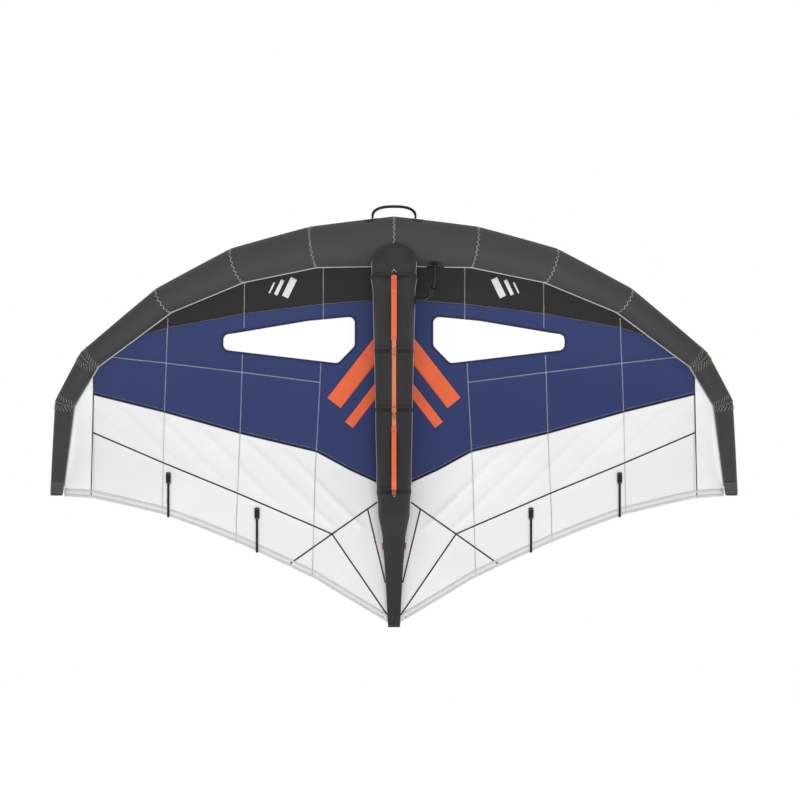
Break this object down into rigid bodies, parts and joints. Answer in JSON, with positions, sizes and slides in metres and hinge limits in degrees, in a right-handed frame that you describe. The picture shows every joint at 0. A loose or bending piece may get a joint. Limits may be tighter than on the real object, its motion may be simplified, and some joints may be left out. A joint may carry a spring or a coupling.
{
  "type": "inflatable hand-held wing",
  "caption": "Hand-held inflatable wing with a swept nose tube, centre strut, sewn canopy with windows, bow handle and twin grips.",
  "frame": {"origin": "point under the middle of the bow handle where a peg bears when the wing hangs from it", "axes": "+X along the span, +Z from the tail up to the nose, +Y from the handle side to the upper side"},
  "size_m": [3.4482, 0.7562, 2.108],
  "materials": {
    "casing_cloth": "matt woven polyester",
    "tape_cloth": "matt sewn tape",
    "bladder_film": "translucent polyurethane film",
    "black_ripstop": "coated ripstop",
    "blue_ripstop": "coated ripstop",
    "white_ripstop": "coated ripstop",
    "window_film": "clear film",
    "orange_webbing": "woven webbing",
    "black_webbing": "woven webbing",
    "grip_foam": "matt foam",
    "grey_plastic": "moulded",
    "flap_rubber": "soft",
    "hose_rubber": "smooth",
    "batten_glass": "glass fibre rod"
  },
  "bodies": {
    "wing": {"batten_left_inner": "batten_glass", "batten_left_outer": "batten_glass", "batten_right_inner": "batten_glass", "batten_right_outer": "batten_glass", "batten_sleeve_left_inner": "black_webbing", "batten_sleeve_left_outer": "black_webbing", "batten_sleeve_right_inner": "black_webbing", "batten_sleeve_right_outer": "black_webbing", "canopy_edge_left": "white_ripstop", "canopy_edge_right": "white_ripstop", "canopy_front_left": "black_ripstop", "canopy_front_right": "black_ripstop", "canopy_middle_left": "blue_ripstop", "canopy_middle_right": "blue_ripstop", "canopy_rear_left": "white_ripstop", "canopy_rear_right": "white_ripstop", "canopy_tip_left": "white_ripstop", "canopy_tip_right": "white_ripstop", "centre_tape": "tape_cloth", "front_piping_left": "white_ripstop", "front_piping_right": "white_ripstop", "handle_patch_front": "black_webbing", "handle_patch_rear": "black_webbing", "hose_clip": "grey_plastic", "link_hose": "hose_rubber", "middle_strap": "orange_webbing", "nose_bladder": "bladder_film", "nose_panel_left_1": "casing_cloth", "nose_panel_left_2": "casing_cloth", "nose_panel_left_3": "casing_cloth", "nose_panel_left_4": "casing_cloth", "nose_panel_left_5": "casing_cloth", "nose_panel_left_6": "casing_cloth", "nose_panel_right_1": "casing_cloth", "nose_panel_right_2": "casing_cloth", "nose_panel_right_3": "casing_cloth", "nose_panel_right_4": "casing_cloth", "nose_panel_right_5": "casing_cloth", "nose_panel_right_6": "casing_cloth", "nose_port": "grey_plastic", "strut_bladder": "bladder_film", "strut_casing": "casing_cloth", "strut_port": "grey_plastic", "strut_tail": "casing_cloth", "tail_cap": "black_webbing", "trailing_hem_left": "white_ripstop", "trailing_hem_right": "white_ripstop", "valve_base": "grey_plastic", "window_left": "window_film", "window_right": "window_film"},
    "bow": {"bow_tube": "black_webbing", "bow_webbing": "black_webbing"},
    "front_handle": {"front_handle_grip": "grip_foam", "front_handle_webbing": "orange_webbing"},
    "rear_handle": {"rear_handle_grip": "grip_foam", "rear_handle_webbing": "orange_webbing"},
    "valve_core": {"valve_body": "grey_plastic"},
    "valve_membrane": {"valve_flap": "flap_rubber"},
    "valve_lid": {"valve_cap": "grey_plastic"},
    "clip_lever": {"hose_clip_lever": "grey_plastic"}
  },
  "joints": [
    {"name": "bow_fold", "type": "hinge", "parent": "wing", "child": "bow", "pos_m": [0, 0, -0.04739], "axis": [1, 0, 0], "range_deg": [-60, 60], "stiffness_Nm_per_rad": 0.15},
    {"name": "front_handle_swing", "type": "hinge", "parent": "wing", "child": "front_handle", "pos_m": [0, -0.19914, -0.34694], "axis": [0, 0.3056, -0.9521], "range_deg": [-50, 50], "stiffness_Nm_per_rad": 0.15},
    {"name": "rear_handle_swing", "type": "hinge", "parent": "wing", "child": "rear_handle", "pos_m": [0, -0.05192, -1.01003], "axis": [0, -0.0662, -0.9978], "range_deg": [-50, 50], "stiffness_Nm_per_rad": 0.15},
    {"name": "valve_twist", "type": "hinge", "parent": "wing", "child": "valve_core", "pos_m": [0.16237, 0.11784, -0.17679], "axis": [-0.0167, 0.9999, 0.0012], "range_deg": [0, 90]},
    {"name": "valve_membrane_lift", "type": "slide", "parent": "valve_core", "child": "valve_membrane", "axis": [0.0167, -0.9999, -0.0012], "range_m": [0, 0.003], "stiffness_N_per_m": 50},
    {"name": "valve_lid_hinge", "type": "hinge", "parent": "wing", "child": "valve_lid", "pos_m": [0.16391, 0.12753, -0.15334], "axis": [0.9972, 0.0167, -0.0724], "range_deg": [0, 140]},
    {"name": "clip_lever_hinge", "type": "hinge", "parent": "wing", "child": "clip_lever", "pos_m": [0.19279, -0.07357, -0.4107], "axis": [-0.9382, 0, 0.3462], "range_deg": [0, 75]}
  ]
}
